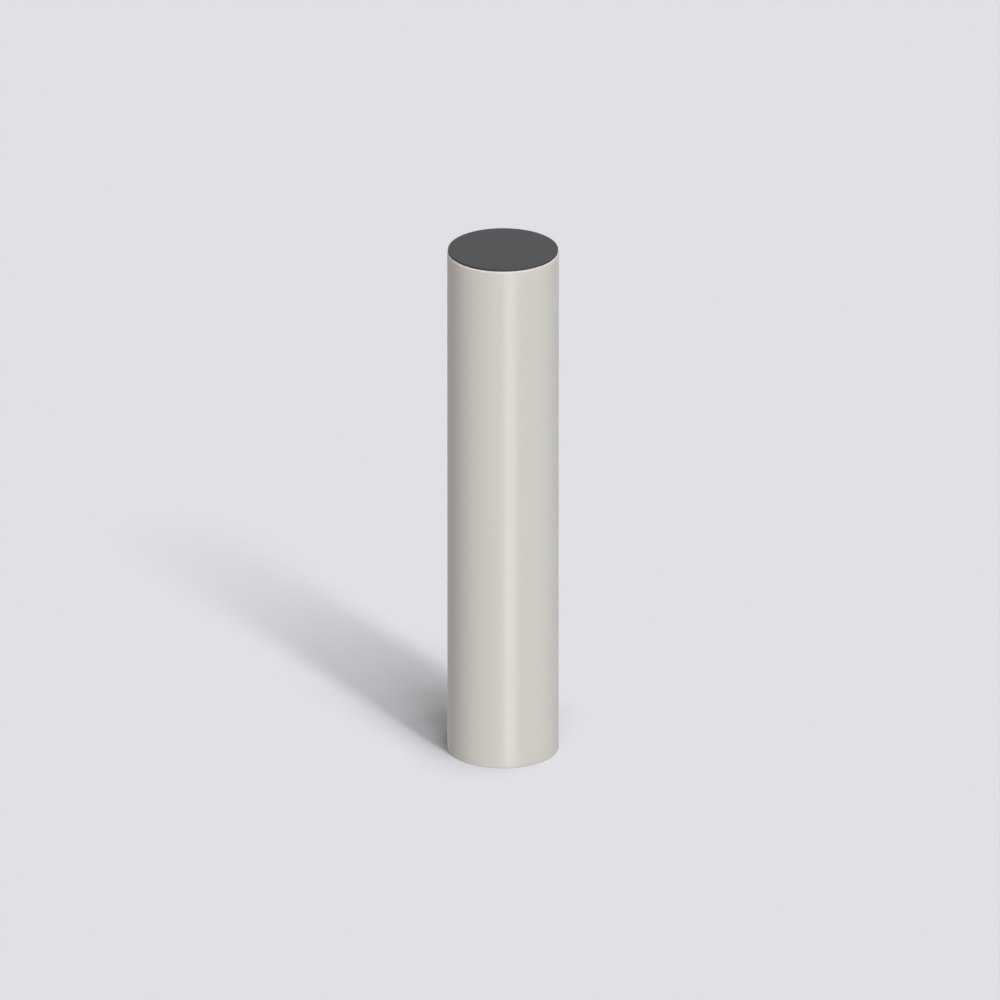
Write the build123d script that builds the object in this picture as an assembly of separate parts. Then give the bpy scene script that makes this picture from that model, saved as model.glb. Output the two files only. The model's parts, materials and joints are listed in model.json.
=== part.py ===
from build123d import *
import os

# A short length of sewer pipe that stands on its plain sawn end, with a flat push-in cap in its upper end.
# All sizes are in millimetres. The origin is the centre of the foot, and +Z runs up along the pipe's axis.

# Pipe
pipe_diameter = 110.0
pipe_wall = 3.2
pipe_length = 530.0
pipe_rim_radius = 2.0
pipe_foot_radius = 0.5
bore_edge_chamfer = 0.5

# Cap: a thin flat plate that seats on the pipe's rim, and a skirt that goes into the bore
cap_plate_thickness = 2.0
cap_plate_setback = 0.8
cap_plate_edge_radius = 0.3
cap_skirt_length = 22.0
cap_skirt_wall = 1.8
cap_skirt_clearance = 0.8
cap_skirt_lead_in = 1.2
cap_skirt_root_radius = 0.6

# Grip rings round the skirt, which hold the cap in the bore
grip_ring_clearance = 0.2
grip_ring_height = 1.6
grip_ring_pitch = 5.0
grip_ring_first_depth = 5.0
grip_ring_count = 3

# Sizes that follow from the ones above
pipe_radius = pipe_diameter / 2
bore_radius = pipe_radius - pipe_wall
cap_plate_radius = pipe_radius - cap_plate_setback
cap_skirt_radius = bore_radius - cap_skirt_clearance
grip_ring_radius = bore_radius - grip_ring_clearance


def upright_rectangle(inner_radius, outer_radius, bottom, top):
    """A rectangle of a turned piece's half section, where X is the radius and Y the height."""
    width = outer_radius - inner_radius
    height = top - bottom
    return Pos(inner_radius + width / 2, bottom + height / 2) * Rectangle(width, height)


def corner(section, radius, height):
    """The corner of a half section that lies at this radius and height."""
    return section.vertices().sort_by_distance((radius, height, 0))[0]


def turned(section):
    """The solid that the half section makes in one turn about the pipe's axis."""
    return revolve(Plane.XZ * section, Axis.Z)


def make_pipe():
    """An extruded tube, cut square, with its outer edges rounded and its bore's edges broken."""
    section = upright_rectangle(bore_radius, pipe_radius, 0, pipe_length)
    section = fillet(corner(section, pipe_radius, pipe_length), pipe_rim_radius)
    section = fillet(corner(section, pipe_radius, 0), pipe_foot_radius)
    section = chamfer(corner(section, bore_radius, pipe_length), bore_edge_chamfer)
    section = chamfer(corner(section, bore_radius, 0), bore_edge_chamfer)
    return turned(section)


def grip_ring_section(depth):
    """A barb on the skirt's outside: square above, and sloped below so that it slides in."""
    upper = pipe_length - depth
    lower = upper - grip_ring_height
    flat = upper - grip_ring_height / 4
    root = cap_skirt_radius - cap_skirt_wall / 2
    outline = Polyline(
        (root, upper),
        (grip_ring_radius, upper),
        (grip_ring_radius, flat),
        (cap_skirt_radius, lower),
        (root, lower),
        close=True,
    )
    return make_face(outline)


def make_end_cap():
    """A moulded cap: the flat plate, the skirt under it and the grip rings, as one piece."""
    skirt_foot = pipe_length - cap_skirt_length
    skirt_inside = cap_skirt_radius - cap_skirt_wall
    cap_top = pipe_length + cap_plate_thickness
    plate = upright_rectangle(0, cap_plate_radius, pipe_length, cap_top)
    skirt = upright_rectangle(skirt_inside, cap_skirt_radius, skirt_foot, pipe_length)
    section = plate + skirt
    for number in range(grip_ring_count):
        section += grip_ring_section(grip_ring_first_depth + number * grip_ring_pitch)
    section = fillet(corner(section, cap_plate_radius, cap_top), cap_plate_edge_radius)
    section = fillet(corner(section, skirt_inside, pipe_length), cap_skirt_root_radius)
    section = chamfer(corner(section, cap_skirt_radius, skirt_foot), cap_skirt_wall / 2, cap_skirt_lead_in)
    return turned(section)


os.makedirs("parts", exist_ok=True)
export_step(make_pipe(), "parts/pipe.step")
export_step(make_end_cap(), "parts/end_cap.step")
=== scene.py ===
import json
import math

import bmesh
import bpy
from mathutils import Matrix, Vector


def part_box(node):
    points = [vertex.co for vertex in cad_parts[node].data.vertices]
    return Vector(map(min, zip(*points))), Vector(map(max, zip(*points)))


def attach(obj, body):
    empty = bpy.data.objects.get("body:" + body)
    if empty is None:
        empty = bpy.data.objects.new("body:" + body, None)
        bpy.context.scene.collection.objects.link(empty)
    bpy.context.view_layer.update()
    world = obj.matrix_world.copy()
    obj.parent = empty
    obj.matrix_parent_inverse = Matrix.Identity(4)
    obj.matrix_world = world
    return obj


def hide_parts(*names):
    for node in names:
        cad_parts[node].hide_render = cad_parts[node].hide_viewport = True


# Looks of an upright length of plain-ended sewer pipe whose upper end is closed by a flat push-in cap.
# Metres, +Z up, with the centre of the pipe's foot at the origin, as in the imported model.

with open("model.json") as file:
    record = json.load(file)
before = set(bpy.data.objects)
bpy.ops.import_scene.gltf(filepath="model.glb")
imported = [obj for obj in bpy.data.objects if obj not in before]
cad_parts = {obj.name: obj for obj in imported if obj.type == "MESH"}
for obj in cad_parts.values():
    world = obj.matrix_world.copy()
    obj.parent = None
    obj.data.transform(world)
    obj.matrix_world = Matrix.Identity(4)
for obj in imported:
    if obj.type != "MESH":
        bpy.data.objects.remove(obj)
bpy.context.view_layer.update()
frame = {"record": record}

MM = 0.001

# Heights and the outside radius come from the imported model
pipe_low, pipe_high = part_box("pipe")
cap_low, cap_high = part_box("end_cap")
mounts = {mount["name"]: mount for mount in frame["record"]["mounts"]}
PIPE_FOOT = pipe_low.z
PIPE_RIM = pipe_high.z
CAP_TOP = cap_high.z
SKIRT_FOOT = cap_low.z
PIPE_RADIUS = mounts["spigot"]["dims"]["r_mm"] * MM

# Section of the pipe
PIPE_WALL = 3.2 * MM
RIM_RADIUS = 2.0 * MM
FOOT_RADIUS = 0.5 * MM
BORE_EDGE = 0.5 * MM
BROKEN_EDGE = 0.12 * MM
SAWN_DEPTH = 0.3 * MM
BORE_RADIUS = PIPE_RADIUS - PIPE_WALL

# Section of the cap
PLATE_RADIUS = PIPE_RADIUS - 0.8 * MM
PLATE_EDGE = 0.3 * MM
SKIRT_RADIUS = BORE_RADIUS - 0.8 * MM
SKIRT_WALL = 1.8 * MM
SKIRT_LEAD_IN = 1.2 * MM
SKIRT_ROOT = 0.6 * MM
RING_RADIUS = BORE_RADIUS - 0.2 * MM
RING_HEIGHT = 1.6 * MM
RING_PITCH = 5.0 * MM
RING_FIRST_DEPTH = 5.0 * MM
RING_COUNT = 3

# How finely the pieces are turned
SIDES = 192
LONGEST_STEP = 9.0 * MM
ARC_STEPS = 7
MERGE_WITHIN = 0.001 * MM
SMOOTH_UNDER = math.radians(32)

# Patterns on the plastics: how fine each one is, and how it is drawn out along X, Y and Z
DIE_LINES = {"scale": 620, "stretch": (1, 1, 0.002), "detail": 3.0}
BROAD_BANDS = {"scale": 38, "stretch": (1, 1, 0.02), "detail": 2.0}
PIGMENT = {"scale": 900, "stretch": (1, 1, 1), "detail": 2.0}
HANDLING = {"scale": 30, "stretch": (1, 1, 0.5), "detail": 4.0}
SAW_MARKS = {"scale": 2400, "stretch": (0.04, 1, 1), "detail": 2.0}
MOULD_GRAIN = {"scale": 1700, "stretch": (1, 1, 1), "detail": 3.0}
MOULD_CLOUD = {"scale": 45, "stretch": (1, 1, 1), "detail": 2.0}
PATTERN_ROUGHNESS = 0.55
PATTERN_LOW, PATTERN_HIGH = 0.3, 0.7

# Colours, each from its darker to its lighter tone, and how strongly the streaks and specks show
PVC_TONES = (0.615, 0.592, 0.552, 1), (0.632, 0.612, 0.574, 1)
SAWN_TONES = (0.60, 0.585, 0.555, 1), (0.70, 0.685, 0.655, 1)
STREAK_TONES = (0.4, 0.4, 0.4, 1), (0.7, 0.7, 0.7, 1)
SPECK_TONES = (0.3, 0.3, 0.3, 1), (0.8, 0.8, 0.8, 1)
CAP_TONES = (0.049, 0.051, 0.054, 1), (0.054, 0.056, 0.059, 1)
STREAK_SHARE = 0.035
SPECK_SHARE = 0.02

# Roughness, each from its glossier to its duller places, and the strength of the gloss
PVC_SHEEN = 0.265, 0.315
HANDLING_SHEEN = 0, 0.02
SAWN_SHEEN = 0.55, 0.70
CAP_SHEEN = 0.5, 0.58
GLOSS = 0.25

# Relief of the surfaces
DIE_LINE_DEPTH = 0.016 * MM
DIE_LINE_STRENGTH = 0.5
SAW_MARK_DEPTH = 0.05 * MM
MOULD_GRAIN_DEPTH = 0.05 * MM
MOULD_GRAIN_STRENGTH = 0.6

# The camera stands well back, so that the pipe shows no convergence
FRAME_SIDE = 1000
PIXELS_PER_METRE = 1013.4
CAMERA_HEIGHT_ANGLE = math.radians(22.6)
CAMERA_DISTANCE = 40.0
AXIS_PIXEL_X = 503.05
FOOT_PIXEL_Y = 747.25


class Plan:
    """Lays nodes in a tree and links them, by one call for each node."""

    def __init__(self, tree):
        self.tree = tree

    def node(self, kind, inputs=None, **settings):
        made = self.tree.nodes.new(kind)
        for name, value in settings.items():
            setattr(made, name, value)
        for key, value in (inputs or {}).items():
            if isinstance(value, bpy.types.NodeSocket):
                self.tree.links.new(value, made.inputs[key])
            else:
                made.inputs[key].default_value = value
        return made

    def math(self, operation, first, second=0.0, third=0.0):
        made = self.node("ShaderNodeMath", {0: first, 1: second, 2: third}, operation=operation)
        return made.outputs[0]

    def vector_math(self, operation, first, second):
        return self.node("ShaderNodeVectorMath", {0: first, 1: second}, operation=operation)

    def finish(self, shader, colour, sheen, skin):
        """Gives a plastic's shader its colour, its roughness and its relief."""
        self.tree.links.new(colour, shader.inputs["Base Color"])
        self.tree.links.new(sheen, shader.inputs["Roughness"])
        self.tree.links.new(skin, shader.inputs["Normal"])
        shader.inputs["Specular IOR Level"].default_value = GLOSS


def turning_tree():
    """Geometry Nodes that round a half section's corners, divide its long runs and turn it."""
    tree = bpy.data.node_groups.new("turn_section", "GeometryNodeTree")
    face = tree.interface
    face.new_socket("Section", in_out="INPUT", socket_type="NodeSocketGeometry")
    for name, kind in (
        ("Sides", "NodeSocketInt"),
        ("Arc steps", "NodeSocketInt"),
        ("Longest step", "NodeSocketFloat"),
        ("Ring radius", "NodeSocketFloat"),
        ("Material", "NodeSocketMaterial"),
    ):
        face.new_socket(name, in_out="INPUT", socket_type=kind)
    face.new_socket("Piece", in_out="OUTPUT", socket_type="NodeSocketGeometry")

    plan = Plan(tree)
    given = plan.node("NodeGroupInput").outputs
    corner = plan.node("GeometryNodeInputNamedAttribute", {"Name": "corner"}, data_type="FLOAT").outputs[0]
    line = plan.node("GeometryNodeMeshToCurve", {"Mesh": given["Section"]}).outputs[0]
    rounded = plan.node(
        "GeometryNodeFilletCurve",
        {"Curve": line, "Count": given["Arc steps"], "Radius": corner, "Limit Radius": True},
        mode="POLY",
    ).outputs[0]

    here = plan.node("GeometryNodeInputPosition").outputs[0]
    index = plan.node("GeometryNodeInputIndex").outputs[0]
    following = plan.node("GeometryNodeOffsetPointInCurve", {"Point Index": index, "Offset": 1}).outputs[1]
    there = plan.node(
        "GeometryNodeFieldAtIndex",
        {"Index": following, "Value": here},
        domain="POINT",
        data_type="FLOAT_VECTOR",
    ).outputs[0]
    run = plan.vector_math("DISTANCE", here, there).outputs["Value"]
    cuts = plan.math("FLOOR", plan.math("DIVIDE", run, given["Longest step"]))
    divided = plan.node("GeometryNodeSubdivideCurve", {"Curve": rounded, "Cuts": cuts}).outputs[0]

    ring = plan.node(
        "GeometryNodeCurvePrimitiveCircle",
        {"Resolution": given["Sides"], "Radius": given["Ring radius"]},
        mode="RADIUS",
    ).outputs[0]
    turned = plan.node("GeometryNodeCurveToMesh", {"Curve": ring, "Profile Curve": divided}).outputs[0]
    closed = plan.node("GeometryNodeMergeByDistance", {"Geometry": turned, "Distance": MERGE_WITHIN})
    real = plan.node("GeometryNodeRealizeInstances", {0: closed.outputs[0]}).outputs[0]
    finished = plan.node("GeometryNodeSetMaterial", {"Geometry": real, "Material": given["Material"]})
    plan.node("NodeGroupOutput", {0: finished.outputs[0]})
    return tree


def section_mesh(name, outline, closed):
    """A half section as a line mesh. X is how far outside its sweeping ring it lies, and Y points down."""
    mesh = bpy.data.meshes.new(name)
    count = len(outline)
    runs = [(number, (number + 1) % count) for number in range(count if closed else count - 1)]
    mesh.from_pydata([(radius - BORE_RADIUS, -height, 0) for radius, height, _ in outline], runs, [])
    corner = mesh.attributes.new("corner", "FLOAT", "POINT")
    corner.data.foreach_set("value", [rounding for _, _, rounding in outline])
    return mesh


def turn(name, outline, closed, material, tree):
    """The piece that a half section makes in one turn, as a plain mesh with its faces outwards."""
    drawn = bpy.data.objects.new(name + "_section", section_mesh(name + "_section", outline, closed))
    bpy.context.scene.collection.objects.link(drawn)
    turning = drawn.modifiers.new("turning", "NODES")
    turning.node_group = tree
    values = {
        "Sides": SIDES,
        "Arc steps": ARC_STEPS,
        "Longest step": LONGEST_STEP,
        "Ring radius": BORE_RADIUS,
        "Material": material,
    }
    for item in tree.interface.items_tree:
        if item.in_out == "INPUT" and item.name in values:
            turning[item.identifier] = values[item.name]
    graph = bpy.context.evaluated_depsgraph_get()
    mesh = bpy.data.meshes.new_from_object(drawn.evaluated_get(graph))
    bpy.data.objects.remove(drawn)
    mesh.name = name
    shape = bmesh.new()
    shape.from_mesh(mesh)
    bmesh.ops.recalc_face_normals(shape, faces=shape.faces)
    shape.to_mesh(mesh)
    shape.free()
    mesh.shade_smooth()
    mesh.set_sharp_from_angle(angle=SMOOTH_UNDER)
    piece = bpy.data.objects.new(name, mesh)
    bpy.context.scene.collection.objects.link(piece)
    return piece


def pipe_outline():
    """The pipe's wall: rounded outside edges, and a broken edge at each end of the bore."""
    return [
        (BORE_RADIUS, PIPE_FOOT + BORE_EDGE, BROKEN_EDGE),
        (BORE_RADIUS + BORE_EDGE, PIPE_FOOT, BROKEN_EDGE),
        (PIPE_RADIUS, PIPE_FOOT, FOOT_RADIUS),
        (PIPE_RADIUS, PIPE_RIM, RIM_RADIUS),
        (BORE_RADIUS + BORE_EDGE, PIPE_RIM, BROKEN_EDGE),
        (BORE_RADIUS, PIPE_RIM - BORE_EDGE, BROKEN_EDGE),
    ]


def cap_outline():
    """The cap from the middle of its top, down its skirt's outside and back to the middle underneath."""
    skirt_inside = SKIRT_RADIUS - SKIRT_WALL
    outline = [
        (0, CAP_TOP, 0),
        (PLATE_RADIUS, CAP_TOP, PLATE_EDGE),
        (PLATE_RADIUS, PIPE_RIM, 0),
        (SKIRT_RADIUS, PIPE_RIM, 0),
    ]
    for number in range(RING_COUNT):
        upper = PIPE_RIM - RING_FIRST_DEPTH - number * RING_PITCH
        outline += [
            (SKIRT_RADIUS, upper, 0),
            (RING_RADIUS, upper, BROKEN_EDGE),
            (RING_RADIUS, upper - RING_HEIGHT / 4, BROKEN_EDGE),
            (SKIRT_RADIUS, upper - RING_HEIGHT, 0),
        ]
    outline += [
        (SKIRT_RADIUS, SKIRT_FOOT + SKIRT_LEAD_IN, BROKEN_EDGE),
        (SKIRT_RADIUS - SKIRT_WALL / 2, SKIRT_FOOT, BROKEN_EDGE),
        (skirt_inside, SKIRT_FOOT, BROKEN_EDGE),
        (skirt_inside, PIPE_RIM, SKIRT_ROOT),
        (0, PIPE_RIM, 0),
    ]
    return outline


def new_material(name):
    """A material with its shader and output only, and a Plan to build the rest with."""
    material = bpy.data.materials.new(name)
    material.use_nodes = True
    material.node_tree.nodes.clear()
    plan = Plan(material.node_tree)
    shader = plan.node("ShaderNodeBsdfPrincipled")
    plan.node("ShaderNodeOutputMaterial", {"Surface": shader.outputs[0]})
    return material, plan, shader


def pattern(plan, place, scale, stretch, detail):
    """Noise that is drawn out along the axes where its stretch is small. Its average is about 0.5."""
    drawn_out = plan.node("ShaderNodeMapping", {"Vector": place, "Scale": stretch}).outputs[0]
    made = plan.node(
        "ShaderNodeTexNoise",
        {"Vector": drawn_out, "Scale": scale, "Detail": detail, "Roughness": PATTERN_ROUGHNESS},
    )
    return made.outputs[0]


def ranged(plan, value, low, high):
    """A pattern's usual low and high values, brought to these ones."""
    made = plan.node(
        "ShaderNodeMapRange",
        {"Value": value, "From Min": PATTERN_LOW, "From Max": PATTERN_HIGH, "To Min": low, "To Max": high},
    )
    return made.outputs[0]


def mixed(plan, share, first, second, blend="MIX"):
    """A share of the second colour over the first. A Mix node has its colours in sockets 6 and 7."""
    made = plan.node("ShaderNodeMix", data_type="RGBA", blend_type=blend)
    for number, value in ((0, share), (6, first), (7, second)):
        if isinstance(value, bpy.types.NodeSocket):
            plan.tree.links.new(value, made.inputs[number])
        else:
            made.inputs[number].default_value = value
    return made.outputs[2]


def extruded_pvc():
    """Satin light warm-grey PVC: faint straight lines from the die along the pipe, and paler sawn ends."""
    material, plan, shader = new_material("extruded_grey_pvc")
    place = plan.node("ShaderNodeTexCoord").outputs["Object"]
    height = plan.node("ShaderNodeSeparateXYZ", {0: place}).outputs["Z"]
    at_foot = plan.math("COMPARE", height, PIPE_FOOT, SAWN_DEPTH)
    at_rim = plan.math("COMPARE", height, PIPE_RIM, SAWN_DEPTH)
    sawn = plan.math("MAXIMUM", at_foot, at_rim)
    die_lines = pattern(plan, place, **DIE_LINES)
    saw_marks = pattern(plan, place, **SAW_MARKS)
    broad_bands = pattern(plan, place, **BROAD_BANDS)
    pigment = pattern(plan, place, **PIGMENT)
    handling = pattern(plan, place, **HANDLING)

    colour = mixed(plan, ranged(plan, broad_bands, 0, 1), *PVC_TONES)
    streaks = mixed(plan, die_lines, *STREAK_TONES)
    colour = mixed(plan, STREAK_SHARE, colour, streaks, "OVERLAY")
    specks = mixed(plan, pigment, *SPECK_TONES)
    colour = mixed(plan, SPECK_SHARE, colour, specks, "OVERLAY")
    cut_face = mixed(plan, saw_marks, *SAWN_TONES)
    colour = mixed(plan, sawn, colour, cut_face)

    drawn_sheen = ranged(plan, die_lines, *PVC_SHEEN)
    drawn_sheen = plan.math("ADD", drawn_sheen, ranged(plan, handling, *HANDLING_SHEEN))
    sheen = mixed(plan, sawn, drawn_sheen, ranged(plan, saw_marks, *SAWN_SHEEN))
    drawn_skin = plan.node(
        "ShaderNodeBump",
        {"Height": die_lines, "Strength": DIE_LINE_STRENGTH, "Distance": DIE_LINE_DEPTH},
    ).outputs[0]
    skin = plan.node(
        "ShaderNodeBump",
        {"Height": saw_marks, "Strength": sawn, "Distance": SAW_MARK_DEPTH, "Normal": drawn_skin},
    ).outputs[0]
    plan.finish(shader, colour, sheen, skin)
    return material


def moulded_cap_plastic():
    """Matt dark-grey plastic with the fine even grain of its mould."""
    material, plan, shader = new_material("moulded_dark_grey_plastic")
    place = plan.node("ShaderNodeTexCoord").outputs["Object"]
    mould_grain = pattern(plan, place, **MOULD_GRAIN)
    cloud = pattern(plan, place, **MOULD_CLOUD)
    colour = mixed(plan, ranged(plan, cloud, 0, 1), *CAP_TONES)
    sheen = ranged(plan, mould_grain, *CAP_SHEEN)
    skin = plan.node(
        "ShaderNodeBump",
        {"Height": mould_grain, "Strength": MOULD_GRAIN_STRENGTH, "Distance": MOULD_GRAIN_DEPTH},
    ).outputs[0]
    plan.finish(shader, colour, sheen, skin)
    return material


# Pale studio: floor, background and soft light
BACKDROP = (0.753, 0.745, 0.783, 1)
FLOOR_HALF_SIDE = 30.0
SKY_FOR_SHADING = (0.05, 0.05, 0.05, 1)

# The key light is a long strip of narrow lamps, from low at the camera's front right to overhead. A lamp is
# placed by where the pipe's shadow from it ends, and has its share of the light that the key gives the floor.
KEY_SIDEWAYS = 31.5
KEY_SPREAD = 4.8
KEY_ON_FLOOR = 0.932
KEY_GLEAMS_BELOW = 80.0

# The strip's low part is one row, which throws the long soft shadow. Past the first few, its shares grow.
LOW_KEY_COUNT = 10
LOW_KEY_LONGEST = 640 * MM
LOW_KEY_STEP = 40 * MM
LOW_KEY_SHARE = 0.016
LOW_KEY_EVEN = 4
LOW_KEY_GAIN = 0.0045

# Its high part is two rows whose shares grow, each with its distance aside and its number of lamps. They
# make the narrow dark line round the foot. The left row ends sooner, so that the floor to the right of the
# foot stays clear, and the highest lamps leave no gleam.
HIGH_KEY_ROWS = ((-50 * MM, 4), (30 * MM, 5))
HIGH_KEY_LONGEST = 240 * MM
HIGH_KEY_STEP = 60 * MM
HIGH_KEY_SHARE = 0.03
HIGH_KEY_GAIN = 0.02

# Fill that throws no shadow and no gleam: its angle sideways, its spread, its strength and its colour.
# It comes from a little below level, so that it lights the pipe and hardly the floor.
FILL_HEIGHT_ANGLE = -6.0
WHITE = (1.0, 1.0, 1.0)
WARM = (1.0, 0.88, 0.77)
SIDE_FILLS = {
    "front_fill": (0.0, 30.0, 1.9, WHITE),
    "left_fill": (-60.0, 30.0, 0.4, WARM),
    "right_fill": (105.0, 30.0, 1.0, WHITE),
    "back_fill": (180.0, 16.0, 2.5, WHITE),
}

# Two narrow lamps that only gloss sees, as the bright line down the pipe: angle sideways, spread, strength
GLEAM_HEIGHT_ANGLE = -22.6
GLEAMS = {
    "gleam_near": (10.0, 12.0, 0.5),
    "gleam_far": (22.0, 6.0, 0.3),
}


def pale_floor():
    """A level floor in the backdrop's colour. It takes the shadow, and gloss sees plain backdrop."""
    mesh = bpy.data.meshes.new("studio_floor")
    far = FLOOR_HALF_SIDE
    corners = [(-far, -far, 0), (far, -far, 0), (far, far, 0), (-far, far, 0)]
    mesh.from_pydata(corners, [], [(0, 1, 2, 3)])
    floor = bpy.data.objects.new("studio_floor", mesh)
    bpy.context.scene.collection.objects.link(floor)
    material = bpy.data.materials.new("studio_floor_paint")
    material.use_nodes = True
    material.node_tree.nodes.clear()
    plan = Plan(material.node_tree)
    paint = plan.node("ShaderNodeBsdfDiffuse", {"Color": BACKDROP}).outputs[0]
    plain = plan.node("ShaderNodeEmission", {"Color": BACKDROP, "Strength": 1.0}).outputs[0]
    seen = plan.node("ShaderNodeLightPath").outputs
    in_gloss = plan.math("MAXIMUM", seen["Is Glossy Ray"], seen["Is Transmission Ray"])
    surface = plan.node("ShaderNodeMixShader", {0: in_gloss, 1: paint, 2: plain}).outputs[0]
    plan.node("ShaderNodeOutputMaterial", {"Surface": surface})
    mesh.materials.append(material)


def pale_world():
    """The background as the camera and gloss see it, and a weak even sky for shading."""
    world = bpy.data.worlds.new("pale_studio")
    world.use_nodes = True
    world.node_tree.nodes.clear()
    plan = Plan(world.node_tree)
    seen = plan.node("ShaderNodeLightPath").outputs
    direct = plan.math("MAXIMUM", seen["Is Camera Ray"], seen["Is Glossy Ray"])
    direct = plan.math("MAXIMUM", direct, seen["Is Transmission Ray"])
    colour = mixed(plan, direct, SKY_FOR_SHADING, BACKDROP)
    light = plan.node("ShaderNodeBackground", {"Color": colour, "Strength": 1.0}).outputs[0]
    plan.node("ShaderNodeOutputWorld", {"Surface": light})
    bpy.context.scene.world = world


def distant_lamp(name, sideways, height_angle, spread, strength):
    """A sun lamp, whose light isn't reflected on. Its angles are to the camera's right and above level."""
    lamp = bpy.data.lights.new(name, "SUN")
    lamp.energy = strength
    lamp.angle = math.radians(spread)
    lamp.cycles.max_bounces = 0
    lamp.cycles.use_multiple_importance_sampling = False
    turn_to = math.radians(sideways)
    rise = math.radians(height_angle)
    level = math.cos(rise)
    towards = Vector((math.sin(turn_to) * level, -math.cos(turn_to) * level, math.sin(rise)))
    holder = bpy.data.objects.new(name, lamp)
    holder.rotation_mode = "QUATERNION"
    holder.rotation_quaternion = towards.to_track_quat("Z", "Y")
    bpy.context.scene.collection.objects.link(holder)
    return holder


def key_angles(along, aside):
    """The angle sideways and the height angle of the key lamp from which the pipe's shadow ends here."""
    sideways = KEY_SIDEWAYS + math.degrees(math.atan2(aside, along))
    height_angle = math.degrees(math.atan2(CAP_TOP - PIPE_FOOT, math.hypot(along, aside)))
    return sideways, height_angle


def key_strip():
    """Each key lamp's angle sideways, its height angle and its share, each row from its low end up."""
    strip = []
    for number in range(LOW_KEY_COUNT):
        share = LOW_KEY_SHARE + LOW_KEY_GAIN * max(0, number - LOW_KEY_EVEN)
        strip.append((*key_angles(LOW_KEY_LONGEST - number * LOW_KEY_STEP, 0), share))
    for aside, count in HIGH_KEY_ROWS:
        for number in range(count):
            share = HIGH_KEY_SHARE + HIGH_KEY_GAIN * number
            strip.append((*key_angles(HIGH_KEY_LONGEST - number * HIGH_KEY_STEP, aside), share))
    return strip


def studio_lamps():
    """The key strip with its long soft shadow, the side fills and the gleams."""
    strip = key_strip()
    whole = sum(share for _, _, share in strip)
    for number, (sideways, height_angle, share) in enumerate(strip):
        on_floor = KEY_ON_FLOOR * share / whole
        strength = on_floor * math.pi / math.sin(math.radians(height_angle))
        key = distant_lamp(f"key_{number}", sideways, height_angle, KEY_SPREAD, strength)
        key.visible_glossy = height_angle < KEY_GLEAMS_BELOW
    for name, (sideways, spread, strength, colour) in SIDE_FILLS.items():
        fill = distant_lamp(name, sideways, FILL_HEIGHT_ANGLE, spread, strength)
        fill.data.color = colour
        fill.data.use_shadow = False
        fill.visible_glossy = False
    for name, (sideways, spread, strength) in GLEAMS.items():
        gleam = distant_lamp(name, sideways, GLEAM_HEIGHT_ANGLE, spread, strength)
        gleam.data.use_shadow = False
        gleam.visible_diffuse = False


def long_lens_camera():
    """The camera at the photograph's height angle and framing, worked out for a square frame."""
    camera = bpy.data.cameras.new("long_lens")
    frame_width = FRAME_SIDE / PIXELS_PER_METRE
    camera.lens = camera.sensor_width * CAMERA_DISTANCE / frame_width
    camera.clip_end = 2 * CAMERA_DISTANCE
    rise = CAMERA_HEIGHT_ANGLE
    aim_sideways = -(AXIS_PIXEL_X - FRAME_SIDE / 2) / PIXELS_PER_METRE
    aim_height = (FOOT_PIXEL_Y - FRAME_SIDE / 2) / PIXELS_PER_METRE / math.cos(rise)
    back = Vector((0, -math.cos(rise), math.sin(rise)))
    holder = bpy.data.objects.new("long_lens", camera)
    holder.location = Vector((aim_sideways, 0, aim_height)) + back * CAMERA_DISTANCE
    holder.rotation_mode = "QUATERNION"
    holder.rotation_quaternion = back.to_track_quat("Z", "Y")
    bpy.context.scene.collection.objects.link(holder)
    bpy.context.scene.camera = holder


tree = turning_tree()
pipe = turn("pvc_pipe", pipe_outline(), True, extruded_pvc(), tree)
cap = turn("push_in_cap", cap_outline(), False, moulded_cap_plastic(), tree)
for piece, node, slot in ((pipe, "pipe", "pipe_pvc"), (cap, "end_cap", "cap_plastic")):
    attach(piece, "root")
    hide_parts(node)

pale_floor()
pale_world()
studio_lamps()
long_lens_camera()
bpy.context.scene.view_settings.view_transform = "Standard"
